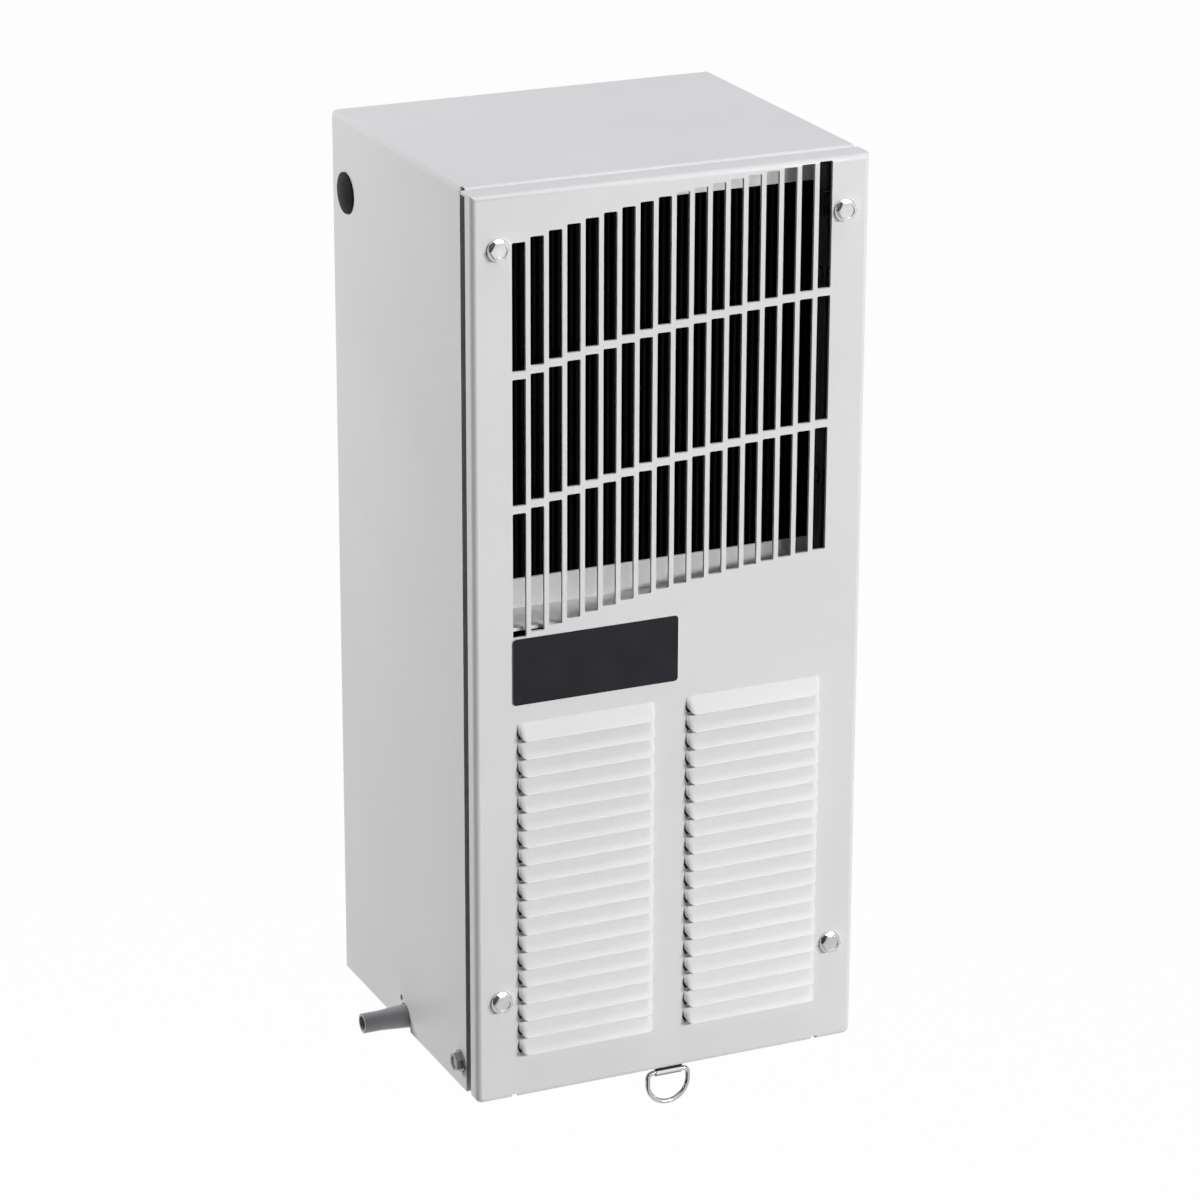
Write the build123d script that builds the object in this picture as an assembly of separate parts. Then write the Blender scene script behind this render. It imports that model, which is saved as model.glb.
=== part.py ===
from build123d import *
import math
import os

# Enclosure cooling unit, in millimetres.
# X runs across the unit, +Y points back to the mounting wall and +Z points up.
# The origin is on the back mounting face, at mid width, level with the cover's bottom edge.

# Overall sizes
WIDTH = 193.0
HEIGHT = 432.0
DEPTH = 170.0
SHEET = 1.5

# Front cover
COVER_BEND = 2.8
COVER_SIDE_FLANGE = 7.4
COVER_TOP_GAP = 0.5
COVER_CORNER = 3.5
NOTCH_SIDE = 19.2
NOTCH_W = 3.0
NOTCH_H = 2.2

# Cabinet wrapper, set back behind a gap and standing a little above the cover
WRAP_FRONT = 12.8
WRAP_RISE = 1.0
WRAP_BOTTOM = 1.5
WRAP_BEND = 2.5
FLANGE_IN = 12.0
FLANGE_TOP = 6.0
BACK_FLANGE = 18.5
BACK_FLANGE_TOP = 20.0
RELIEF_D = 3.0

# Slotted grille: upright slots in rows, each column stepped along one large circle
SLOT_W = 6.5
SLOT_H = 58.5
SLOT_BAR = 2.25
ROW_BAR = 3.5
SLOT_CORNER = 0.45
SLOT_ROWS = 3
GRILLE_SIDE = 17.0
GRILLE_TOP = 0.5
ARC_RADIUS = 852.0
ARC_APEX_X = 117.85

# Nameplate, under the grille
PLATE_SIDE = 18.5
PLATE_L = 81.5
PLATE_H = 31.7
PLATE_BELOW_GRILLE = 0.5
PLATE_R = 1.8
PLATE_T = 0.6

# Louvers in two columns, under the nameplate
LOUVER_SIDE = 20.6
LOUVER_GAP = 15.8
LOUVER_BELOW_PLATE = 8.8
LOUVER_MARGIN = 18.0
LOUVER_PITCH = 8.63
LOUVER_H = 7.8
LOUVER_OUT = 4.8
LOUVER_LIP = 0.7
LOUVER_SKIN = 1.0
LOUVER_START = 0.1
LOUVER_BOW = 3.0
LOUVER_CORNER = 3.4
LOUVER_CORNER_RISE = 5.6
LOUVER_SHEAR = 1.8
LOUVER_STEPS = 3

# Hex washer head screws
WASHER_D = 10.7
WASHER_T = 0.8
HEX_AF = 7.9
HEX_T = 2.9
DIMPLE_D = 5.8
DIMPLE_T = 0.5
SHANK_D = 4.8
SHANK_L = 18.0
SCREW_SIDE = 12.4
SCREW_TOP = 24.7
SCREW_BOTTOM = 50.2
SCREW_PLAY = 0.3
THREAD_PLAY = 0.1

# Clip nuts on the wrapper's ears
EAR_OUT = 4.9
EAR_H = 10.4
CLIP_H = 11.0
CLIP_SKIN = 0.8
CLIP_NUT_T = 2.5
CLIP_END = 3.1

# Foam strip in the gap at each side
FOAM_PLAY = 0.1
FOAM_W = 5.7
FOAM_END = 4.0

# Hole plugs, high at the rear of the sides
PLUG_BACK = 20.0
PLUG_TOP = 34.4
PLUG_D = 19.4
PLUG_DOME = 2.6
PLUG_RIM = 0.8
PLUG_BANDS = 4
PLUG_HOLE_D = 16.0
PLUG_STEM_L = 5.5
PLUG_PLAY = 0.3

# Screws low on the sides
BASE_SCREW_DEPTH = 19.4
BASE_SCREW_Z = 14.4
BASE_SCREW_L = 9.0

# Drain spigot, low on the left side
DRAIN_DEPTH = 89.0
DRAIN_Z = 7.5
DRAIN_OUT = 22.0
DRAIN_ROOT_D = 11.6
DRAIN_TIP_D = 9.6
DRAIN_TAPER = 13.0
DRAIN_BORE_D = 7.0
DRAIN_STEM_D = 8.4
DRAIN_STEM_L = 7.0
DRAIN_NOTCH_D = 12.6
WEEP_D = 3.2
WEEP_BACK = 4.5
WEEP_UP = 7.6

# Base pan
PAN_WALL = 24.0
PAN_CORNER = 3.0

# Condenser bay behind the grille
BAY_FACE = 28.7
SHELF_RISE = 3.2
SHELF_FRONT = 4.0
LIP_H = 13.7
TOP_RAIL = 17.7
TOP_RAIL_FLANGE = 15.0
COIL_OVERLAP = 3.5
COIL_DEPTH = 32.0
FIN_PITCH = 3.0
FIN_GROOVE = 1.6
FIN_GROOVE_DEPTH = 10.0
FIN_EDGE = 1.0
BAY_SCREW_DEPTH = 24.0
BAY_SCREW_HIGH = 42.6
BAY_SCREW_LOW = 31.4
BAY_SCREW_HEAD_D = 8.0
BAY_SCREW_HEAD_T = 2.4
BAY_SCREW_D = 4.0
BAY_SCREW_L = 5.0
BAY_PLATE_PLAY = 1.0

# Filter, its guides and its pull
GUIDE_SIDE = 19.5
GUIDE_T = 1.0
GUIDE_SKIN = 0.8
GUIDE_LIP = 4.5
GUIDE_Z0 = 4.0
FILTER_PLAY = 0.7
FILTER_Z0 = 3.5
FILTER_OVER = 3.6
FILTER_BAR = 8.0
FILTER_SKIN = 0.8
STRAP_W = 13.4
STRAP_T = 0.45
STRAP_FOOT = 4.0
PULL_X = 3.4
PULL_DEPTH = 6.4
PULL_Z = -4.4
WIRE_D = 2.35
WIRE_PLAY = 0.1
RING_W = 23.0
RING_DROP = 15.7
RING_CORNER = 2.6

# Back plate, evaporator housing and mounting points
BACK_INSET = 2.5
BACK_FIELD_SIDE = 35.0
BACK_FIELD_TOP = 66.25
BACK_FIELD_BOTTOM = 70.25
BACK_FIELD_BETWEEN = 56.5
MOUNT_SIDE = 10.5
MOUNT_END = 34.0
MOUNT_HOLE_D = 6.4
NUT_AF = 11.0
NUT_T = 6.0
HOUSING_SIDE = 22.5
HOUSING_TOP = 24.0
HOUSING_DEPTH = 70.0
CAVITY_MARGIN = 5.0
CAVITY_DEPTH = 24.0
EVAPORATOR_T = 15.0

# Overrun of cutting shapes past the faces that they open
CUT = 1.0

# Derived positions
HALF = WIDTH / 2
WRAP_TOP = HEIGHT + WRAP_RISE
INNER_TOP = WRAP_TOP - SHEET
INNER_SIDE = HALF - SHEET
FLANGE_EDGE = HALF - FLANGE_IN
FLANGE_BACK = WRAP_FRONT + SHEET
BACK_INNER = -2 * SHEET
PAN_FLOOR = WRAP_BOTTOM + SHEET
SLOT_PITCH = SLOT_W + SLOT_BAR
ROW_PITCH = SLOT_H + ROW_BAR
SCREW_X = HALF - SCREW_SIDE
SCREW_ZS = {"upper": HEIGHT - SCREW_TOP, "lower": SCREW_BOTTOM}
NOTCH_X = HALF - NOTCH_SIDE
MOUNT_X = HALF - MOUNT_SIDE
MOUNT_ZS = (MOUNT_END, HEIGHT / 2, HEIGHT - MOUNT_END)
HOUSING_HALF = HALF - HOUSING_SIDE
HOUSING_BACK = BACK_INNER - SHEET


def at(d):
    # Row position of a point that lies d behind the cover's outer face.
    return d - DEPTH


def slab(x0, x1, y0, y1, z0, z1):
    size = Box(x1 - x0, y1 - y0, z1 - z0)
    return Pos((x0 + x1) / 2, (y0 + y1) / 2, (z0 + z1) / 2) * size


def rod_x(x0, x1, y, z, diameter):
    return Pos((x0 + x1) / 2, y, z) * Rot(0, 90, 0) * Cylinder(diameter / 2, x1 - x0)


def rod_y(y0, y1, x, z, diameter):
    return Pos(x, (y0 + y1) / 2, z) * Rot(90, 0, 0) * Cylinder(diameter / 2, y1 - y0)


def edges_at(shape, axis, **place):
    # Edges along an axis whose middles have the given coordinates.
    def here(edge):
        middle = edge.center()
        return all(abs(getattr(middle, k) - v) < SHEET / 100 for k, v in place.items())

    return [e for e in shape.edges().filter_by(axis) if here(e)]


def mirror_x(shape):
    return shape.mirror(Plane.YZ)


def columns_between(side):
    # Number of slot columns that fit between two side margins.
    return int((WIDTH - 2 * side + SLOT_BAR) / SLOT_PITCH)


def column_xs(side):
    count = columns_between(side)
    return [(k - (count - 1) / 2) * SLOT_PITCH for k in range(count)]


def column_top(x):
    run = ARC_APEX_X - x
    return HEIGHT - GRILLE_TOP - ARC_RADIUS + (ARC_RADIUS ** 2 - run ** 2) ** 0.5


GRILLE_XS = column_xs(GRILLE_SIDE)
GRILLE_BOTTOM = min(column_top(x) for x in GRILLE_XS) - (SLOT_ROWS - 1) * ROW_PITCH - SLOT_H
PLATE_TOP = GRILLE_BOTTOM - PLATE_BELOW_GRILLE
LOUVER_TOP = PLATE_TOP - PLATE_H - LOUVER_BELOW_PLATE
LOUVER_ROWS = int((LOUVER_TOP - LOUVER_MARGIN) / LOUVER_PITCH)
LOUVER_L = (WIDTH - 2 * LOUVER_SIDE - LOUVER_GAP) / 2
SHELF_Z = GRILLE_BOTTOM + SHELF_RISE
LIP_Z = SHELF_Z + LIP_H
TOP_RAIL_Z = HEIGHT - TOP_RAIL
BAY_SCREW_ZS = (TOP_RAIL_Z - BAY_SCREW_HIGH, LIP_Z + BAY_SCREW_LOW)
GUIDE_X = HALF - GUIDE_SIDE
FILTER_HALF = GUIDE_X - FILTER_PLAY
FILTER_FRONT = SHEET + GUIDE_SKIN + FILTER_PLAY
FILTER_BACK = WRAP_FRONT - GUIDE_SKIN - FILTER_PLAY
FILTER_Z1 = LOUVER_TOP + FILTER_OVER
ROLL_D = WIRE_D + 2 * (WIRE_PLAY + STRAP_T)
BACK_SLOT_H = (HEIGHT - BACK_FIELD_TOP - BACK_FIELD_BOTTOM - BACK_FIELD_BETWEEN) / 4 - ROW_BAR / 2
BACK_FIELD_H = 2 * BACK_SLOT_H + ROW_BAR
BACK_FIELD_ZS = (HEIGHT - BACK_FIELD_TOP - BACK_FIELD_H / 2, BACK_FIELD_BOTTOM + BACK_FIELD_H / 2)
BACK_XS = column_xs(BACK_FIELD_SIDE)
CAVITY_HALF = BACK_XS[-1] + SLOT_W / 2 + CAVITY_MARGIN
CAVITY_TALL = BACK_FIELD_H / 2 + CAVITY_MARGIN


def slot_cutter(height):
    # Upright slot with eased corners, run through a sheet on both sides of the XZ plane.
    face = Rectangle(SLOT_W, height)
    face = chamfer(face.vertices(), SLOT_CORNER)
    return extrude(Plane.XZ * face, SHEET + CUT, both=True)


def quarter(centre, run, rise, swell=0.0):
    # Flats round a quarter of an ellipse, from its side to its tip, swollen most near the tip.
    points = []
    for k in range(LOUVER_STEPS + 1):
        turn = math.radians(90 * k / LOUVER_STEPS)
        more = swell * math.sin(2 * turn) * math.sin(turn)
        x = centre[0] + math.copysign(abs(run) + more, run) * math.cos(turn)
        points.append((x, centre[1] + math.copysign(abs(rise) + more, rise) * math.sin(turn)))
    return points


def hood_section(drop, half, out, behind):
    # Level section of a hood, with ends that bow back to the sheet.
    tip = half - LOUVER_BOW
    right = quarter((tip, at(0)), LOUVER_BOW, -out)
    left = quarter((-tip, at(0)), -LOUVER_BOW, -out)
    points = [(-half, at(behind)), (half, at(behind)), *right, *reversed(left)]
    return Pos(0, 0, -drop) * make_face(Polyline(*points, close=True))


def louver_outline(behind, ahead):
    # Upright prism of a louver's front outline, whose lower corners are rounded off.
    half = LOUVER_L / 2
    tip = half - LOUVER_CORNER
    level = LOUVER_CORNER_RISE - LOUVER_H
    right = quarter((tip, level), LOUVER_CORNER, -LOUVER_CORNER_RISE)
    left = quarter((-tip, level), -LOUVER_CORNER, -LOUVER_CORNER_RISE)
    points = [(-half, CUT), (half, CUT), *right, *reversed(left)]
    face = Plane.XZ * make_face(Polyline(*points, close=True))
    return Pos(0, at(behind), 0) * extrude(face, behind + ahead)


def louver_hood():
    # Outside of one hood, lofted from its top edge out to its lip.
    half = LOUVER_L / 2
    top = hood_section(0, half, LOUVER_START, SHEET / 2)
    lip = hood_section(LOUVER_H - LOUVER_LIP, half, LOUVER_OUT, SHEET / 2)
    hood = loft([top, lip], ruled=True)
    hood += extrude(lip, LOUVER_LIP, dir=(0, 0, -1))
    return hood & louver_outline(SHEET, 2 * LOUVER_OUT)


def louver_cavity():
    # Inside of one hood, open through the sheet and below its lip.
    half = LOUVER_L / 2 - LOUVER_SKIN
    drop = 2 * LOUVER_SKIN
    reach = LOUVER_OUT * (LOUVER_H - drop) / (LOUVER_H - LOUVER_LIP)
    top = hood_section(drop, half, LOUVER_START, 3 * SHEET)
    foot = hood_section(LOUVER_H, half, min(reach, LOUVER_OUT - LOUVER_SKIN), 3 * SHEET)
    return loft([top, foot], ruled=True) & louver_outline(4 * SHEET, 2 * LOUVER_OUT)


def louver_shear(side):
    # Crescent slit in the sheet round one lower corner, where the hood is torn free.
    tip = side * (LOUVER_L / 2 - LOUVER_CORNER)
    level = LOUVER_CORNER_RISE - LOUVER_H
    points = quarter((tip, level), side * LOUVER_CORNER, -LOUVER_CORNER_RISE, LOUVER_SHEAR)
    face = Plane.XZ * make_face(Polyline((tip, level), *points, close=True))
    return Pos(0, at(SHEET + CUT), 0) * extrude(face, SHEET + CUT)


def make_cover():
    # Folded pan: sides and top turned back, bottom turned back only outside the filter slot.
    deep = WRAP_FRONT - COVER_TOP_GAP
    pan = slab(-HALF, HALF, at(0), at(deep), 0, HEIGHT)
    pan = fillet(edges_at(pan, Axis.Y, Z=0), COVER_CORNER)
    bends = edges_at(pan, Axis.Z, Y=at(0)) + edges_at(pan, Axis.X, Y=at(0), Z=HEIGHT)
    pan = fillet(bends, COVER_BEND)
    pan = offset(pan, -SHEET, openings=pan.faces().sort_by(Axis.Y)[-1])
    pan -= slab(-WIDTH, WIDTH, at(COVER_SIDE_FLANGE), at(DEPTH), -CUT, HEIGHT - SHEET)
    pan -= slab(-NOTCH_X, NOTCH_X, at(SHEET), at(DEPTH), -CUT, 2 * SHEET)
    for x in (-NOTCH_X, NOTCH_X):
        pan -= slab(x - NOTCH_W / 2, x + NOTCH_W / 2, at(-CUT), at(DEPTH), -CUT, NOTCH_H)
    slot = slot_cutter(SLOT_H)
    steps = [SLOT_H / 2 + row * ROW_PITCH for row in range(SLOT_ROWS)]
    pan = pan.cut(*[Pos(x, at(0), column_top(x) - step) * slot for x in GRILLE_XS for step in steps])
    hood = louver_hood()
    cavity = louver_cavity()
    slits = [louver_shear(-1), louver_shear(1)]
    across = (LOUVER_L + LOUVER_GAP) / 2
    rows = [LOUVER_TOP - k * LOUVER_PITCH for k in range(LOUVER_ROWS)]
    places = [Pos(x, 0, z) for x in (-across, across) for z in rows]
    pan = pan.fuse(*[place * hood for place in places])
    pan = pan.cut(*[place * cavity for place in places])
    pan = pan.cut(*[place * slit for place in places for slit in slits])
    wide = SHANK_D + 2 * SCREW_PLAY
    span = (at(-CUT), at(SHEET + CUT))
    return pan.cut(*[rod_y(*span, s * SCREW_X, z, wide) for s in (-1, 1) for z in SCREW_ZS.values()])


def mount_holes():
    span = (BACK_INNER - CUT, CUT)
    return [rod_y(*span, s * MOUNT_X, z, MOUNT_HOLE_D) for s in (-1, 1) for z in MOUNT_ZS]


def make_wrapper():
    # One sheet folded over the top and sides, with return flanges at the front and back.
    front = at(WRAP_FRONT)
    body = slab(-HALF, HALF, front, -SHEET, WRAP_BOTTOM, WRAP_TOP)
    bends = edges_at(body, Axis.Y, Z=WRAP_TOP) + edges_at(body, Axis.X, Z=WRAP_TOP)
    bends += edges_at(body, Axis.Z, Y=-SHEET)
    body = fillet(bends, WRAP_BEND)
    shell = offset(body, -SHEET, openings=body.faces().sort_by(Axis.Z)[0])
    shell -= slab(-FLANGE_EDGE, FLANGE_EDGE, front - CUT, front + SHEET + CUT, 0, WRAP_TOP - FLANGE_TOP)
    opening = HALF - BACK_FLANGE
    shell -= slab(-opening, opening, BACK_INNER - CUT, 0, 0, WRAP_TOP - BACK_FLANGE_TOP)
    wide = SHANK_D + 2 * SCREW_PLAY
    cuts = mount_holes()
    for s in (-1, 1):
        for z in SCREW_ZS.values():
            span = sorted((s * (FLANGE_EDGE + SHEET), s * (FLANGE_EDGE - EAR_OUT)))
            shell += slab(*span, front, front + SHEET, z - EAR_H / 2, z + EAR_H / 2)
            cuts.append(rod_y(front - CUT, front + SHEET + CUT, s * SCREW_X, z, wide))
        side = sorted((s * (INNER_SIDE - CUT), s * (HALF + CUT)))
        cuts.append(rod_x(*side, -PLUG_BACK, HEIGHT - PLUG_TOP, PLUG_HOLE_D))
        cuts.append(rod_x(*side, at(BASE_SCREW_DEPTH), BASE_SCREW_Z, wide))
        corner = s * (HALF - RELIEF_D / 2)
        cuts.append(rod_y(front - CUT, front + 2 * SHEET, corner, WRAP_TOP - RELIEF_D / 2, RELIEF_D))
    side = (-HALF - CUT, -INNER_SIDE)
    radius = DRAIN_NOTCH_D / 2
    cuts.append(rod_x(*side, at(DRAIN_DEPTH + WEEP_BACK), DRAIN_Z + WEEP_UP, WEEP_D))
    cuts.append(rod_x(*side, at(DRAIN_DEPTH), DRAIN_Z, DRAIN_NOTCH_D))
    cuts.append(slab(*side, at(DRAIN_DEPTH) - radius, at(DRAIN_DEPTH) + radius, 0, DRAIN_Z))
    return shell.cut(*cuts)


def make_base_pan():
    # Drawn tray between the wrapper's flanges.
    tray = slab(-INNER_SIDE, INNER_SIDE, at(FLANGE_BACK), BACK_INNER, WRAP_BOTTOM, WRAP_BOTTOM + PAN_WALL)
    tray = fillet(tray.edges().filter_by(Axis.Z), PAN_CORNER)
    tray = offset(tray, -SHEET, openings=tray.faces().sort_by(Axis.Z)[-1])
    wide = SHANK_D + 2 * SCREW_PLAY
    for s in (-1, 1):
        side = sorted((s * (INNER_SIDE - SHEET - CUT), s * (INNER_SIDE + CUT)))
        tray -= rod_x(*side, at(BASE_SCREW_DEPTH), BASE_SCREW_Z, wide)
    side = (-INNER_SIDE - CUT, -INNER_SIDE + SHEET + CUT)
    tray -= rod_x(*side, at(DRAIN_DEPTH + WEEP_BACK), DRAIN_Z + WEEP_UP, WEEP_D)
    return tray - rod_x(*side, at(DRAIN_DEPTH), DRAIN_Z, DRAIN_STEM_D + 2 * SCREW_PLAY)


def make_back_plate():
    half = HALF - BACK_INSET
    plate = slab(-half, half, -SHEET, 0, 0, WRAP_TOP - BACK_INSET)
    slot = slot_cutter(BACK_SLOT_H)
    step = (BACK_SLOT_H + ROW_BAR) / 2
    spots = [Pos(x, 0, z + k * step) * slot for x in BACK_XS for z in BACK_FIELD_ZS for k in (-1, 1)]
    return plate.cut(*spots, *mount_holes())


def hex_screw(length):
    # Washer head screw with its seat at the origin and its head towards +Z.
    screw = Pos(0, 0, WASHER_T / 2) * Cylinder(WASHER_D / 2, WASHER_T)
    screw += extrude(RegularPolygon(HEX_AF / 2, 6, major_radius=False), WASHER_T + HEX_T)
    screw -= Pos(0, 0, WASHER_T + HEX_T) * Cylinder(DIMPLE_D / 2, 2 * DIMPLE_T)
    return screw + Pos(0, 0, -length / 2) * Cylinder(SHANK_D / 2, length)


def pan_screw():
    # Pan head screw with its seat at the origin and its head towards +Z.
    head = Pos(0, 0, BAY_SCREW_HEAD_T / 2) * Cylinder(BAY_SCREW_HEAD_D / 2, BAY_SCREW_HEAD_T)
    head = chamfer(head.edges().sort_by(Axis.Z)[-1], BAY_SCREW_HEAD_T / 2)
    return head + Pos(0, 0, -BAY_SCREW_L / 2) * Cylinder(BAY_SCREW_D / 2, BAY_SCREW_L)


def clip_nut(z):
    # Clip folded around the right ear, threaded by the cover screw.
    inner = FLANGE_EDGE - EAR_OUT
    outer = SCREW_X + CLIP_END
    z0 = z - CLIP_H / 2
    z1 = z + CLIP_H / 2
    clip = slab(inner - CLIP_SKIN, outer, at(WRAP_FRONT - CLIP_SKIN), at(FLANGE_BACK + CLIP_NUT_T), z0, z1)
    clip -= slab(inner, outer + CUT, at(WRAP_FRONT), at(FLANGE_BACK), z0 - CUT, z1 + CUT)
    return clip - rod_y(at(0), at(SHANK_L), SCREW_X, z, SHANK_D + 2 * THREAD_PLAY)


def foam_strip():
    # Strip set in just past the cover's bends.
    x1 = HALF - COVER_BEND - FOAM_PLAY
    return slab(x1 - FOAM_W, x1, at(SHEET), at(WRAP_FRONT), FOAM_END, HEIGHT - FOAM_END)


def hole_plug():
    # Domed plug on the right side, turned from bands that follow a shallow cap.
    half = PLUG_D / 2
    rise = PLUG_DOME - PLUG_RIM
    radius = (half ** 2 + rise ** 2) / (2 * rise)
    stem = PLUG_HOLE_D / 2 - PLUG_PLAY
    reaches = [half * k / PLUG_BANDS for k in range(PLUG_BANDS + 1)]
    dome = [(r, PLUG_DOME - radius + (radius ** 2 - r ** 2) ** 0.5) for r in reaches]
    rest = [(half, 0), (stem, 0), (stem, -PLUG_STEM_L), (0, -PLUG_STEM_L)]
    solid = revolve(Plane.XZ * make_face(Polyline(*dome, *rest, close=True)), Axis.Z)
    return Pos(HALF, -PLUG_BACK, HEIGHT - PLUG_TOP) * Rot(0, 90, 0) * solid


def drain_spigot():
    # Hose spigot: a tapered root, a straight tip and a stem through the pan's wall.
    root = HALF - INNER_SIDE
    tip = root + DRAIN_OUT
    points = [
        (DRAIN_BORE_D / 2, -DRAIN_STEM_L),
        (DRAIN_STEM_D / 2, -DRAIN_STEM_L),
        (DRAIN_STEM_D / 2, 0),
        (DRAIN_ROOT_D / 2, 0),
        (DRAIN_ROOT_D / 2, root),
        (DRAIN_TIP_D / 2, root + DRAIN_TAPER),
        (DRAIN_TIP_D / 2, tip),
        (DRAIN_BORE_D / 2, tip),
    ]
    solid = revolve(Plane.XZ * make_face(Polyline(*points, close=True)), Axis.Z)
    return Pos(-INNER_SIDE, at(DRAIN_DEPTH), DRAIN_Z) * Rot(0, -90, 0) * solid


def make_nameplate():
    plate = extrude(Plane.XZ * RectangleRounded(PLATE_L, PLATE_H, PLATE_R), PLATE_T)
    return Pos(-HALF + PLATE_SIDE + PLATE_L / 2, at(0), PLATE_TOP - PLATE_H / 2) * plate


def folded_strip(points):
    # Sheet between the bay's plates, folded to a side profile of (depth, height) points.
    face = Plane.YZ * make_face(Polyline(*[(at(d), z) for d, z in points], close=True))
    return extrude(face, FLANGE_EDGE, both=True)


def make_shelf():
    back = BAY_FACE + SHEET
    low = SHELF_Z - SHEET
    outside = [(SHELF_FRONT, low), (back, low), (back, LIP_Z)]
    inside = [(BAY_FACE, LIP_Z), (BAY_FACE, SHELF_Z), (SHELF_FRONT, SHELF_Z)]
    return folded_strip(outside + inside)


def make_top_rail():
    back = BAY_FACE + SHEET
    end = BAY_FACE + TOP_RAIL_FLANGE
    under = INNER_TOP - SHEET
    inside = [(back, TOP_RAIL_Z), (back, under), (end, under)]
    outside = [(end, INNER_TOP), (BAY_FACE, INNER_TOP), (BAY_FACE, TOP_RAIL_Z)]
    return folded_strip(inside + outside)


def fin_block(half, y0, y1, z0, z1, mouth):
    # Finned block: upright grooves cut in from the face that the air meets.
    block = slab(-half, half, y0, y1, z0, z1)
    count = int(2 * half / FIN_PITCH)
    span = sorted((mouth, y0 + FIN_GROOVE_DEPTH if mouth < y0 else y1 - FIN_GROOVE_DEPTH))
    groove = slab(-FIN_GROOVE / 2, FIN_GROOVE / 2, *span, z0 + FIN_EDGE, z1 - FIN_EDGE)
    return block.cut(*[Pos((k - (count - 1) / 2) * FIN_PITCH, 0, 0) * groove for k in range(count)])


def make_coil():
    y0 = at(BAY_FACE + SHEET)
    rise = (LIP_Z - COIL_OVERLAP, TOP_RAIL_Z + COIL_OVERLAP)
    return fin_block(FLANGE_EDGE, y0, y0 + COIL_DEPTH, *rise, y0 - CUT)


def bay_plate():
    # Upright plate at the right of the condenser bay, just behind the cover screws' tips.
    y0 = at(SHANK_L + BAY_PLATE_PLAY)
    y1 = at(BAY_FACE + SHEET + COIL_DEPTH)
    plate = slab(FLANGE_EDGE, FLANGE_EDGE + SHEET, y0, y1, SHELF_Z - SHEET, INNER_TOP)
    span = (FLANGE_EDGE - CUT, FLANGE_EDGE + SHEET + CUT)
    wide = BAY_SCREW_D + 2 * SCREW_PLAY
    return plate.cut(*[rod_x(*span, at(BAY_SCREW_DEPTH), z, wide) for z in BAY_SCREW_ZS])


def bay_screws():
    screw = Rot(0, -90, 0) * pan_screw()
    return [Pos(FLANGE_EDGE, at(BAY_SCREW_DEPTH), z) * screw for z in BAY_SCREW_ZS]


def filter_guide():
    # Channel at the right edge of the filter, closed at its top end.
    z1 = FILTER_Z1 + FILTER_PLAY + GUIDE_T
    channel = slab(GUIDE_X - GUIDE_LIP, GUIDE_X + GUIDE_T, at(SHEET), at(WRAP_FRONT), GUIDE_Z0, z1)
    room = (at(SHEET + GUIDE_SKIN), at(WRAP_FRONT - GUIDE_SKIN))
    return channel - slab(0, GUIDE_X, *room, 0, z1 - GUIDE_T)


def make_filter_frame():
    # Channel section bent round the mesh: a window inside and a groove in its inner faces.
    frame = slab(-FILTER_HALF, FILTER_HALF, at(FILTER_FRONT), at(FILTER_BACK), FILTER_Z0, FILTER_Z1)
    inner = FILTER_HALF - FILTER_BAR
    frame -= slab(-inner, inner, at(0), at(WRAP_FRONT), FILTER_Z0 + FILTER_BAR, FILTER_Z1 - FILTER_BAR)
    return frame - make_filter_mesh()


def make_filter_mesh():
    half = FILTER_HALF - FILTER_SKIN
    span = (at(FILTER_FRONT + FILTER_SKIN), at(FILTER_BACK - FILTER_SKIN))
    return slab(-half, half, *span, FILTER_Z0 + FILTER_SKIN, FILTER_Z1 - FILTER_SKIN)


def make_strap():
    # Strip under the filter's lower bar, rolled around the ring's straight side.
    half = STRAP_W / 2
    y0 = at(PULL_DEPTH) - ROLL_D / 2
    strap = slab(-half, half, y0, y0 + STRAP_FOOT, FILTER_Z0 - STRAP_T, FILTER_Z0)
    strap += slab(-half, half, y0, y0 + STRAP_T, PULL_Z, FILTER_Z0)
    strap += rod_x(-half, half, at(PULL_DEPTH), PULL_Z, ROLL_D)
    strap -= rod_x(-half - CUT, half + CUT, at(PULL_DEPTH), PULL_Z, WIRE_D + 2 * WIRE_PLAY)
    return Pos(PULL_X, 0, 0) * strap


def wire_bend(start, along, centre, turn):
    # Round wire that leaves start in one direction and turns about a centre.
    disc = Plane(origin=start, z_dir=along) * Circle(WIRE_D / 2)
    return revolve(disc, Axis(centre, (0, 1, 0)), turn)


def make_ring():
    # Wire bent to a D, with its straight side level.
    w = (RING_W - WIRE_D) / 2
    c = RING_CORNER
    s = RING_DROP - w
    ring = rod_x(c - w, w - c, 0, 0, WIRE_D)
    ring += wire_bend((w - c, 0, 0), (1, 0, 0), (w - c, 0, -c), 90)
    ring += wire_bend((w, 0, -s), (0, 0, -1), (0, 0, -s), 180)
    ring += wire_bend((-w, 0, -c), (0, 0, 1), (c - w, 0, -c), 90)
    for x in (-w, w):
        ring += Pos(x, 0, -(c + s) / 2) * Cylinder(WIRE_D / 2, s - c)
    return Pos(PULL_X, at(PULL_DEPTH), PULL_Z) * ring


def make_housing():
    # Insulated evaporator housing with a recess behind each field of slots.
    front = HOUSING_BACK - HOUSING_DEPTH
    top = HEIGHT - HOUSING_TOP
    box = slab(-HOUSING_HALF, HOUSING_HALF, front, HOUSING_BACK, PAN_FLOOR, top)
    for z in BACK_FIELD_ZS:
        inside = (HOUSING_BACK - CAVITY_DEPTH, HOUSING_BACK + CUT)
        box -= slab(-CAVITY_HALF, CAVITY_HALF, *inside, z - CAVITY_TALL, z + CAVITY_TALL)
    return box


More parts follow.
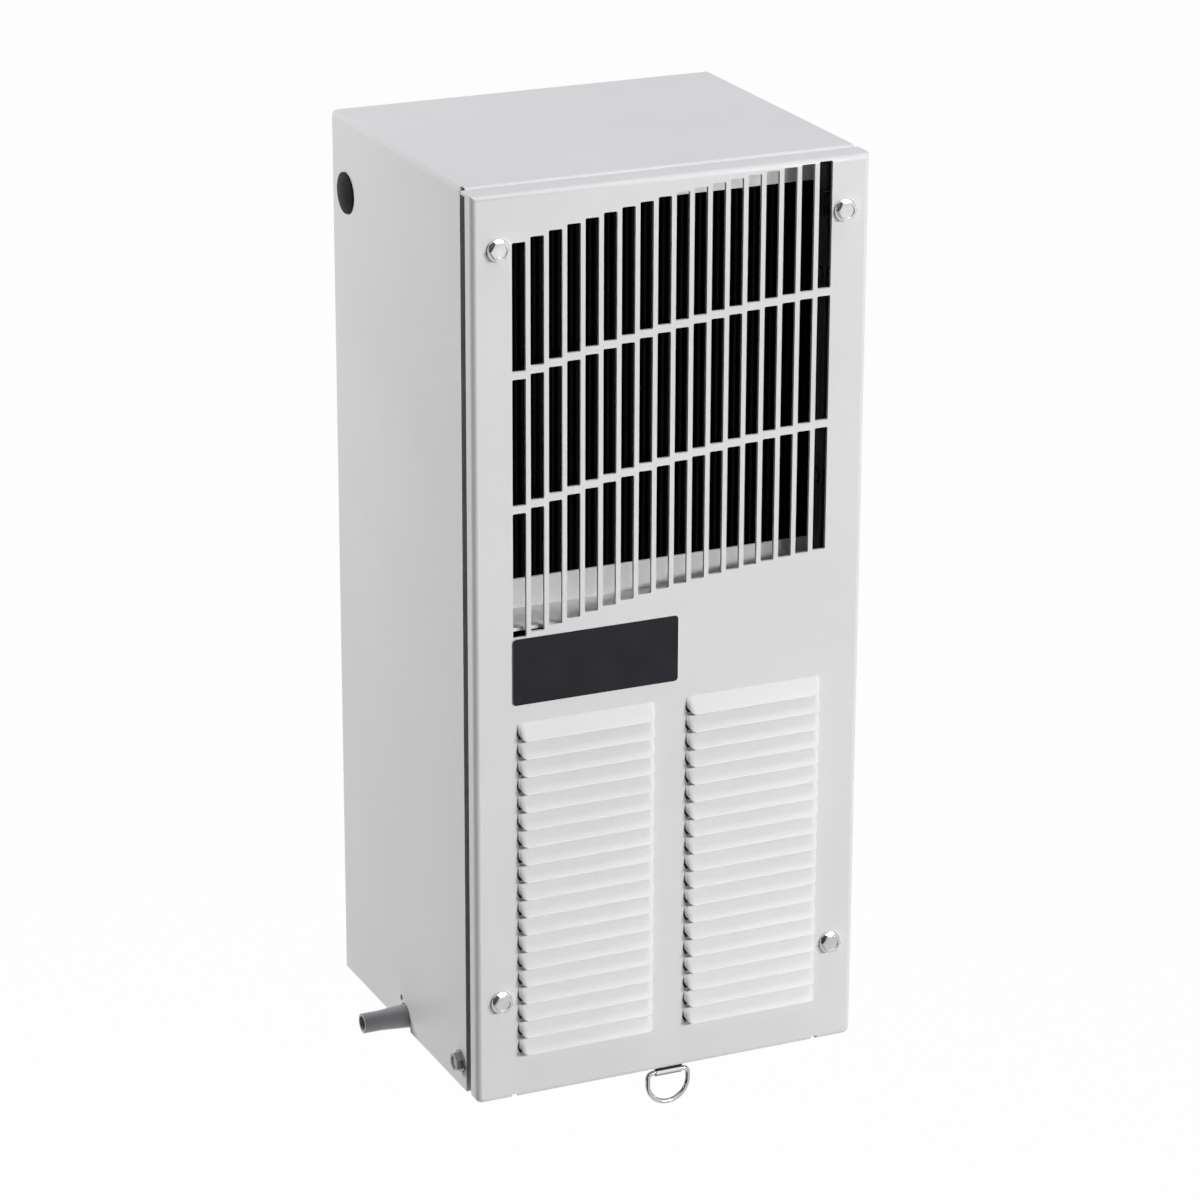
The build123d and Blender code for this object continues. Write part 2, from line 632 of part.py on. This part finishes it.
def make_evaporator():
    y0 = HOUSING_BACK - CAVITY_DEPTH
    y1 = y0 + EVAPORATOR_T
    z = BACK_FIELD_ZS[0]
    return fin_block(CAVITY_HALF, y0, y1, z - CAVITY_TALL, z + CAVITY_TALL, y1 + CUT)


def mounting_nuts():
    # Hexagonal nuts on the inner face of the wrapper's back flange.
    nut = extrude(Plane.XZ * RegularPolygon(NUT_AF / 2, 6, major_radius=False), NUT_T)
    nut -= rod_y(-NUT_T - CUT, CUT, 0, 0, MOUNT_HOLE_D)
    return [Pos(s * MOUNT_X, BACK_INNER, z) * nut for s in (-1, 1) for z in MOUNT_ZS]


parts = {
    "cabinet_wrapper": make_wrapper(),
    "base_pan": make_base_pan(),
    "back_plate": make_back_plate(),
    "front_cover": make_cover(),
    "nameplate": make_nameplate(),
    "drain_spigot": drain_spigot(),
    "divider_shelf": make_shelf(),
    "coil_top_rail": make_top_rail(),
    "condenser_coil": make_coil(),
    "evaporator_housing": make_housing(),
    "evaporator_coil": make_evaporator(),
    "mounting_nuts": Compound(children=mounting_nuts()),
    "filter_frame": make_filter_frame(),
    "filter_mesh": make_filter_mesh(),
    "filter_pull_strap": make_strap(),
    "pull_ring": make_ring(),
    "bay_screws_right": Compound(children=bay_screws()),
    "bay_screws_left": Compound(children=[mirror_x(s) for s in bay_screws()]),
}

base_screw = Pos(HALF, at(BASE_SCREW_DEPTH), BASE_SCREW_Z) * Rot(0, 90, 0) * hex_screw(BASE_SCREW_L)
paired = {
    "foam_strip": foam_strip(),
    "base_screw": base_screw,
    "hole_plug": hole_plug(),
    "bay_plate": bay_plate(),
    "filter_guide": filter_guide(),
}
for level, z in SCREW_ZS.items():
    paired[f"cover_screw_{level}"] = Pos(SCREW_X, at(0), z) * Rot(90, 0, 0) * hex_screw(SHANK_L)
    paired[f"clip_nut_{level}"] = clip_nut(z)

for name, shape in paired.items():
    parts[f"{name}_right"] = shape
    parts[f"{name}_left"] = mirror_x(shape)

os.makedirs("parts", exist_ok=True)
for name, shape in parts.items():
    export_step(shape, f"parts/{name}.step")
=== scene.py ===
import bpy
import math
from mathutils import Matrix, Vector

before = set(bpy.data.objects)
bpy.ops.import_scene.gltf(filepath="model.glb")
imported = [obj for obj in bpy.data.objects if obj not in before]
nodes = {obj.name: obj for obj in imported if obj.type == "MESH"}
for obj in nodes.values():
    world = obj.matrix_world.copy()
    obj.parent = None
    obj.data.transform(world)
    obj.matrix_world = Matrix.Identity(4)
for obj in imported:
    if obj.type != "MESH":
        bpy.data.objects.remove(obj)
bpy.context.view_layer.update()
scene = bpy.context.scene

# Modifiers on the CAD nodes (lengths in metres)
WELD_DISTANCE = 0.000002
EDGE_WIDTH = 0.00025
EDGE_SEGMENTS = 2
EDGE_ANGLE = math.radians(38)
# Easing draws dark lines between this node's many holes.
NOT_EASED = "back_plate"

# Textures: noise scales, and where on the noise a tone is dark or light
TONE_DARK = 0.3
TONE_LIGHT = 0.7
COAT_CLOUD = 14.0
COAT_SHEEN = 60.0
COAT_ROUGH_BELOW = 0.05
COAT_ROUGH_ABOVE = 0.06
COAT_SHINE = 0.35
COAT_SECOND_GRAIN = 0.33
COAT_SECOND_STRENGTH = 0.6
METAL_CLOUD = 160.0
METAL_SHEEN_SHARE = 0.4
METAL_ROUGH_BELOW = 0.07
METAL_ROUGH_ABOVE = 0.08
PLASTIC_CLOUD = 90.0
PLASTIC_SHEEN = 220.0
PLASTIC_ROUGH_BELOW = 0.06
PLASTIC_ROUGH_ABOVE = 0.06

WEAVE_METALLIC = 0.8
WEAVE_STRETCH = (1.0, 1.0, 1.7)
WEAVE_SCALE = 260.0
WEAVE_TONES = [(0.06, (0.12, 0.12, 0.12)), (0.2, (0.006, 0.006, 0.006))]
WEAVE_ROUGH = 0.42
WEAVE_DEPTH = 0.0006

# Pull strap: painted shade, painted highlight and painted shadow, picked by
# height with a little noise.
STRAP_BOTTOM = -0.0066
STRAP_TOP = 0.0
STRAP_BAND_JITTER = 0.03
STRAP_BAND_JITTER_SCALE = 900.0
STRAP_LIGHT_AND_SHADE = [
    (0.0, (0.3, 0.295, 0.28)), (0.31, (0.38, 0.375, 0.355)),
    (0.38, (0.86, 0.86, 0.85)), (0.55, (0.88, 0.88, 0.87)),
    (0.6, (0.03, 0.03, 0.03)), (1.0, (0.035, 0.035, 0.035)),
]
STRAP_SHEEN = 320.0
STRAP_ROUGH_LOW = 0.16
STRAP_ROUGH_HIGH = 0.3
STRAP_GRAIN = 800.0
STRAP_DEPTH = 0.00001

LABEL_SHINE = 0.2
LABEL_FACE_Y = -0.6
LABEL_ROUGH_LOW = 0.44
LABEL_ROUGH_HIGH = 0.56
LABEL_GRAIN = 1400.0
LABEL_DEPTH = 0.00003

# Studio (metres, degrees, watts)
MIDDLE = Vector((0, -0.1, 0.22))
FLOOR_SIZE = 16
FLOOR_Z = -0.5
FLOOR_COLOUR = (0.9, 0.9, 0.9, 1)
FLOOR_WHITE = 0.98
FLOOR_IN_METAL = 0.5
FLAG_WIDTH = 1.5
FLAG_HEIGHT = 1.6
FLOOR_FLAG_AT = (-1.15, -1.5, -0.45)
FLAG_CLOUD = 8.0
FLAG_DARK = (0.01, 0.01, 0.01)
FLAG_LIGHT = (0.02, 0.02, 0.02)
FLAG_ROUGH = 0.9
DIM_COLOUR = (0.88, 0.88, 1.0, 1)
DIM_STRENGTH = 0.05
WHITE = (1, 1, 1, 1)

# Camera, solved from the housing's corners in the photo
SENSOR_MM = 36.0
FOCAL_PX = 4584.5
PHOTO_PX = 1200.0
CLIP_NEAR = 0.05
CLIP_FAR = 60.0
EYE = (-0.82829471, -1.93469857, 0.94036561)
RIGHT = Vector((0.91255438, -0.40894471, 0.00295362))
DOWN = Vector((-0.13679776, -0.31205267, -0.94016462))
AHEAD = Vector((0.38539703, 0.85754729, -0.34070775))


# Materials

def new_material(name):
    m = bpy.data.materials.new(name)
    m.use_nodes = True
    return m, m.node_tree, m.node_tree.nodes["Principled BSDF"]


def add(nt, kind, **values):
    n = nt.nodes.new(kind)
    for k, v in values.items():
        setattr(n, k, v)
    return n


def calc(nt, operation, *values):
    # Math node; each value is a number or a socket.
    n = add(nt, "ShaderNodeMath", operation=operation)
    for socket, value in zip(n.inputs, values):
        if isinstance(value, float):
            socket.default_value = value
        else:
            nt.links.new(value, socket)
    return n.outputs[0]


def noise(nt, scale, detail=3.0, rough=0.5, stretch=None):
    tc = add(nt, "ShaderNodeTexCoord")
    out = tc.outputs["Object"]
    if stretch:
        mp = add(nt, "ShaderNodeMapping")
        mp.inputs["Scale"].default_value = stretch
        nt.links.new(out, mp.inputs["Vector"])
        out = mp.outputs["Vector"]
    n = add(nt, "ShaderNodeTexNoise")
    n.inputs["Scale"].default_value = scale
    n.inputs["Detail"].default_value = detail
    n.inputs["Roughness"].default_value = rough
    nt.links.new(out, n.inputs["Vector"])
    return n.outputs["Fac"]


def ramp(nt, fac, stops):
    r = add(nt, "ShaderNodeValToRGB")
    r.color_ramp.elements[0].position = stops[0][0]
    r.color_ramp.elements[0].color = (*stops[0][1], 1)
    r.color_ramp.elements[1].position = stops[-1][0]
    r.color_ramp.elements[1].color = (*stops[-1][1], 1)
    for pos, col in stops[1:-1]:
        e = r.color_ramp.elements.new(pos)
        e.color = (*col, 1)
    nt.links.new(fac, r.inputs["Fac"])
    return r.outputs["Color"]


def spread(nt, fac, low, high):
    m = add(nt, "ShaderNodeMapRange")
    m.inputs["To Min"].default_value = low
    m.inputs["To Max"].default_value = high
    nt.links.new(fac, m.inputs["Value"])
    return m.outputs["Result"]


def bump(nt, bsdf, height, distance, strength=1.0, under=None):
    b = add(nt, "ShaderNodeBump")
    b.inputs["Distance"].default_value = distance
    b.inputs["Strength"].default_value = strength
    nt.links.new(height, b.inputs["Height"])
    if under:
        nt.links.new(under, b.inputs["Normal"])
    nt.links.new(b.outputs["Normal"], bsdf.inputs["Normal"])
    return b.outputs["Normal"]


def cloudy(nt, scale, dark, light, detail=4.0):
    stops = [(TONE_DARK, dark), (TONE_LIGHT, light)]
    return ramp(nt, noise(nt, scale, detail), stops)


def tint(nt, bsdf, colour):
    nt.links.new(colour, bsdf.inputs["Base Color"])


def sheen(nt, bsdf, scale, low, high):
    # Roughness that wanders between two values.
    rough = spread(nt, noise(nt, scale), low, high)
    nt.links.new(rough, bsdf.inputs["Roughness"])


def painted(name, dark, light, rough, grain, depth):
    # Powder coat: cloudy tone, fine pebbled grain.
    m, nt, b = new_material(name)
    tint(nt, b, cloudy(nt, COAT_CLOUD, dark, light))
    sheen(nt, b, COAT_SHEEN, rough - COAT_ROUGH_BELOW,
          rough + COAT_ROUGH_ABOVE)
    fine = noise(nt, grain, detail=2.0, rough=0.6)
    first = bump(nt, b, fine, depth)
    broad = noise(nt, grain * COAT_SECOND_GRAIN, detail=2.0)
    bump(nt, b, broad, depth, COAT_SECOND_STRENGTH, first)
    b.inputs["Specular IOR Level"].default_value = COAT_SHINE
    return m


def metal(name, dark, light, rough, stretch, grain, depth):
    m, nt, b = new_material(name)
    b.inputs["Metallic"].default_value = 1.0
    tint(nt, b, cloudy(nt, METAL_CLOUD, dark, light))
    sheen(nt, b, grain * METAL_SHEEN_SHARE, rough - METAL_ROUGH_BELOW,
          rough + METAL_ROUGH_ABOVE)
    bump(nt, b, noise(nt, grain, rough=0.6, stretch=stretch), depth)
    return m


def plastic(name, dark, light, rough, grain, depth, shine=0.5):
    m, nt, b = new_material(name)
    b.inputs["Specular IOR Level"].default_value = shine
    tint(nt, b, cloudy(nt, PLASTIC_CLOUD, dark, light))
    sheen(nt, b, PLASTIC_SHEEN, rough - PLASTIC_ROUGH_BELOW,
          rough + PLASTIC_ROUGH_ABOVE)
    bump(nt, b, noise(nt, grain, detail=2.0, rough=0.55), depth)
    return m


def mesh_weave(name):
    # Layers of knitted aluminium wire.
    m, nt, b = new_material(name)
    b.inputs["Metallic"].default_value = WEAVE_METALLIC
    tc = add(nt, "ShaderNodeTexCoord")
    mp = add(nt, "ShaderNodeMapping")
    mp.inputs["Scale"].default_value = WEAVE_STRETCH
    nt.links.new(tc.outputs["Object"], mp.inputs["Vector"])
    v = add(nt, "ShaderNodeTexVoronoi", feature="DISTANCE_TO_EDGE")
    v.inputs["Scale"].default_value = WEAVE_SCALE
    nt.links.new(mp.outputs["Vector"], v.inputs["Vector"])
    strand = ramp(nt, v.outputs["Distance"], WEAVE_TONES)
    tint(nt, b, strand)
    b.inputs["Roughness"].default_value = WEAVE_ROUGH
    bump(nt, b, strand, WEAVE_DEPTH)
    return m


def strap_steel_painted_light(name):
    # By height: painted shade in grey below, a painted highlight in the bright
    # band where it rolls round the wire, painted shadow in the dark above.
    m, nt, b = new_material(name)
    b.inputs["Metallic"].default_value = 1.0
    tc = add(nt, "ShaderNodeTexCoord")
    split = add(nt, "ShaderNodeSeparateXYZ")
    nt.links.new(tc.outputs["Object"], split.inputs[0])
    height = add(nt, "ShaderNodeMapRange")
    height.inputs["From Min"].default_value = STRAP_BOTTOM
    height.inputs["From Max"].default_value = STRAP_TOP
    nt.links.new(split.outputs["Z"], height.inputs["Value"])
    # Noisy height, which picks the painted shade, highlight and shadow bands.
    lit_height = calc(nt, "MULTIPLY_ADD", noise(nt, STRAP_BAND_JITTER_SCALE),
                STRAP_BAND_JITTER, height.outputs["Result"])
    tint(nt, b, ramp(nt, lit_height, STRAP_LIGHT_AND_SHADE))
    sheen(nt, b, STRAP_SHEEN, STRAP_ROUGH_LOW, STRAP_ROUGH_HIGH)
    bump(nt, b, noise(nt, STRAP_GRAIN, rough=0.6), STRAP_DEPTH)
    return m


def label(name, dark, light, cut):
    # Black print on pale film: the cut edge shows pale.
    m, nt, b = new_material(name)
    b.inputs["Specular IOR Level"].default_value = LABEL_SHINE
    geo = add(nt, "ShaderNodeNewGeometry")
    split = add(nt, "ShaderNodeSeparateXYZ")
    nt.links.new(geo.outputs["Normal"], split.inputs[0])
    face = cloudy(nt, PLASTIC_CLOUD, dark, light)
    edge = calc(nt, "GREATER_THAN", split.outputs["Y"], LABEL_FACE_Y)
    mix = add(nt, "ShaderNodeMix", data_type="RGBA")
    mix.inputs["B"].default_value = (*cut, 1)
    nt.links.new(edge, mix.inputs["Factor"])
    nt.links.new(face, mix.inputs["A"])
    tint(nt, b, mix.outputs["Result"])
    sheen(nt, b, PLASTIC_SHEEN, LABEL_ROUGH_LOW, LABEL_ROUGH_HIGH)
    bump(nt, b, noise(nt, LABEL_GRAIN, detail=2.0, rough=0.55), LABEL_DEPTH)
    return m


coat = painted(
    "powder_coat", dark=(0.685, 0.685, 0.675), light=(0.715, 0.715, 0.705),
    rough=0.38, grain=1500.0, depth=0.00006)
inner = painted(
    "inner_white", dark=(0.79, 0.79, 0.78), light=(0.85, 0.85, 0.84),
    rough=0.5, grain=1100.0, depth=0.00004)
plate = label(
    "plate_black", dark=(0.0065, 0.006, 0.009), light=(0.011, 0.01, 0.0145),
    cut=(0.62, 0.62, 0.63))
plug = plastic(
    "plug_black", dark=(0.013, 0.012, 0.013), light=(0.026, 0.025, 0.026),
    rough=0.6, grain=900.0, depth=0.0003, shine=0.15)
black_metal = painted(
    "black_metal", dark=(0.022, 0.022, 0.022), light=(0.036, 0.036, 0.036),
    rough=0.34, grain=1300.0, depth=0.00003)
foam = plastic(
    "foam_black", dark=(0.004, 0.004, 0.004), light=(0.012, 0.012, 0.012),
    rough=0.9, grain=900.0, depth=0.0003, shine=0.08)
drain = plastic(
    "drain_grey", dark=(0.35, 0.356, 0.37), light=(0.42, 0.427, 0.443),
    rough=0.36, grain=700.0, depth=0.00003)
coil = plastic(
    "coil_black", dark=(0.0012, 0.0014, 0.0014), light=(0.003, 0.0034, 0.0034),
    rough=0.7, grain=1200.0, depth=0.00003, shine=0.04)
fins = metal(
    "fin_aluminium", dark=(0.55, 0.56, 0.57), light=(0.72, 0.73, 0.74),
    rough=0.35, stretch=(1, 1, 0.1), grain=900.0, depth=0.00003)
zinc = metal(
    "bright_zinc", dark=(0.55, 0.55, 0.535), light=(0.66, 0.66, 0.645),
    rough=0.16, stretch=None, grain=700.0, depth=0.00002)
dull_zinc = metal(
    "dull_zinc", dark=(0.27, 0.27, 0.255), light=(0.37, 0.37, 0.355),
    rough=0.28, stretch=None, grain=700.0, depth=0.00002)
# Painted light: a lighter copy of the black paint, standing for the light the
# bay plate catches in the dim bay.
bay_black_lit = painted(
    "bay_black_lit", dark=(0.07, 0.07, 0.072), light=(0.1, 0.1, 0.102),
    rough=0.3, grain=1300.0, depth=0.00003)
nickel = metal(
    "nickel_plate", dark=(0.52, 0.515, 0.505), light=(0.62, 0.615, 0.605),
    rough=0.12, stretch=None, grain=500.0, depth=0.000004)
strap = strap_steel_painted_light("strap_steel_painted_light")
filter_alu = metal(
    "filter_aluminium", dark=(0.56, 0.57, 0.57), light=(0.70, 0.70, 0.70),
    rough=0.34, stretch=(1, 1, 0.15), grain=600.0, depth=0.00003)
weave = mesh_weave("filter_weave")

looks = {
    "cabinet_wrapper": coat, "base_pan": coat,
    "back_plate": coat, "front_cover": coat,
    "divider_shelf": inner, "coil_top_rail": inner,
    "nameplate": plate, "drain_spigot": drain,
    "condenser_coil": coil, "evaporator_housing": foam,
    "evaporator_coil": fins, "mounting_nuts": zinc,
    "filter_frame": filter_alu, "filter_mesh": weave,
    "filter_pull_strap": strap, "pull_ring": nickel,
}
# The first prefix that fits a node's name decides.
prefixes = [
    ("cover_screw", zinc), ("base_screw", dull_zinc),
    ("clip_nut", black_metal), ("bay_plate", bay_black_lit),
    ("bay_", black_metal), ("foam_strip", foam),
    ("hole_plug", plug), ("filter_guide", black_metal),
]
for name, obj in nodes.items():
    m = looks.get(name) or next(v for k, v in prefixes if name.startswith(k))
    obj.data.materials.clear()
    obj.data.materials.append(m)
    weld = obj.modifiers.new("weld", "WELD")
    weld.merge_threshold = WELD_DISTANCE
    if name == NOT_EASED:
        continue
    edge = obj.modifiers.new("eased_edges", "BEVEL")
    edge.width = EDGE_WIDTH
    edge.segments = EDGE_SEGMENTS
    edge.limit_method = "ANGLE"
    edge.angle_limit = EDGE_ANGLE
    edge.use_clamp_overlap = True
    obj.modifiers.new("normals", "WEIGHTED_NORMAL")


# Floor, light and camera

def place(obj, pos, target):
    obj.location = pos
    aim = Vector(target) - Vector(pos)
    obj.rotation_euler = aim.to_track_quat("-Z", "Y").to_euler()


def around(azimuth, elevation, distance):
    # Point round the unit's middle; azimuth 0 is in front, positive right.
    a = math.radians(azimuth)
    e = math.radians(elevation)
    flat = math.cos(e)
    reach = Vector((math.sin(a) * flat, -math.cos(a) * flat, math.sin(e)))
    return MIDDLE + reach * distance


def area(name, pos, size, power, colour=(1, 1, 1)):
    lamp = bpy.data.lights.new(name, "AREA")
    lamp.shape = "RECTANGLE"
    lamp.size, lamp.size_y = size
    lamp.energy = power
    lamp.color = colour
    o = bpy.data.objects.new(name, lamp)
    scene.collection.objects.link(o)
    place(o, pos, MIDDLE)
    return o


def mixed(nt, out, fac, first, second):
    mix = add(nt, "ShaderNodeMixShader")
    nt.links.new(fac, mix.inputs["Fac"])
    nt.links.new(first.outputs[0], mix.inputs[1])
    nt.links.new(second.outputs[0], mix.inputs[2])
    nt.links.new(mix.outputs[0], out.inputs["Surface"])


def floor_material():
    # Evenly white to the camera, half as bright in reflections.
    m = bpy.data.materials.new("floor_pale")
    m.use_nodes = True
    nt = m.node_tree
    nt.nodes.clear()
    out = add(nt, "ShaderNodeOutputMaterial")
    diffuse = add(nt, "ShaderNodeBsdfDiffuse")
    diffuse.inputs["Color"].default_value = FLOOR_COLOUR
    glow = add(nt, "ShaderNodeEmission")
    glow.inputs["Color"].default_value = WHITE
    path = add(nt, "ShaderNodeLightPath").outputs
    half = calc(nt, "MULTIPLY", path["Is Glossy Ray"], FLOOR_IN_METAL)
    seen = calc(nt, "MAXIMUM", path["Is Camera Ray"], half)
    share = calc(nt, "MULTIPLY", seen, FLOOR_WHITE)
    mixed(nt, out, share, diffuse, glow)
    return m


def flag_material():
    m, nt, b = new_material("flag_black")
    tint(nt, b, cloudy(nt, FLAG_CLOUD, FLAG_DARK, FLAG_LIGHT, detail=3.0))
    b.inputs["Roughness"].default_value = FLAG_ROUGH
    return m


def panel(name, width, height, material):
    mesh = bpy.data.meshes.new(name)
    w = width / 2
    h = height / 2
    corners = [(-w, -h, 0), (w, -h, 0), (w, h, 0), (-w, h, 0)]
    mesh.from_pydata(corners, [], [(0, 1, 2, 3)])
    mesh.materials.append(material)
    o = bpy.data.objects.new(name, mesh)
    scene.collection.objects.link(o)
    return o


def make_world():
    # White where it is seen or mirrored, dim as a source of light.
    w = bpy.data.worlds.new("studio")
    scene.world = w
    w.use_nodes = True
    nt = w.node_tree
    nt.nodes.clear()
    out = add(nt, "ShaderNodeOutputWorld")
    dim = add(nt, "ShaderNodeBackground")
    dim.inputs["Color"].default_value = DIM_COLOUR
    dim.inputs["Strength"].default_value = DIM_STRENGTH
    white = add(nt, "ShaderNodeBackground")
    white.inputs["Color"].default_value = WHITE
    path = add(nt, "ShaderNodeLightPath").outputs
    seen = calc(nt, "MAXIMUM", path["Is Camera Ray"], path["Is Glossy Ray"])
    through = calc(nt, "MAXIMUM", seen, path["Is Transmission Ray"])
    mixed(nt, out, through, dim, white)


floor = panel("floor", FLOOR_SIZE, FLOOR_SIZE, floor_material())
floor.location = (0, 0, FLOOR_Z)

# Dark cards for the metal to mirror, hidden from the camera
dark = flag_material()
left = panel("flag_left", FLAG_WIDTH, FLAG_HEIGHT, dark)
place(left, around(azimuth=-78, elevation=5, distance=1.3), MIDDLE)
room = panel("flag_room", FLAG_WIDTH, FLAG_HEIGHT, dark)
place(room, around(azimuth=-38, elevation=14, distance=2.9), MIDDLE)
low = panel("flag_floor", width=1.9, height=2.4, material=dark)
low.location = FLOOR_FLAG_AT
for flag in (left, room, low):
    flag.visible_camera = False

make_world()
area("key", around(azimuth=28, elevation=19, distance=5.0),
     size=(2.2, 0.35), power=203.0)
area("overhead", around(azimuth=55, elevation=70, distance=1.5),
     size=(0.7, 0.7), power=7.6, colour=(0.9, 0.89, 1.0))
left_back = area(
    "left_back", around(azimuth=-125, elevation=22, distance=1.5),
    size=(0.6, 0.6), power=18.6, colour=(0.98, 0.98, 1.0))
# Mirrored in the top, this lamp would clip it to white from the right.
left_back.visible_glossy = False

cam = bpy.data.cameras.new("camera")
cam.sensor_fit = "HORIZONTAL"
cam.sensor_width = SENSOR_MM
cam.lens = FOCAL_PX / PHOTO_PX * SENSOR_MM
cam.clip_start = CLIP_NEAR
cam.clip_end = CLIP_FAR
eye = bpy.data.objects.new("camera", cam)
scene.collection.objects.link(eye)
turn = Matrix((RIGHT, -DOWN, -AHEAD)).transposed()
eye.matrix_world = Matrix.Translation(EYE) @ turn.to_4x4()
scene.camera = eye

scene.view_settings.view_transform = "Standard"
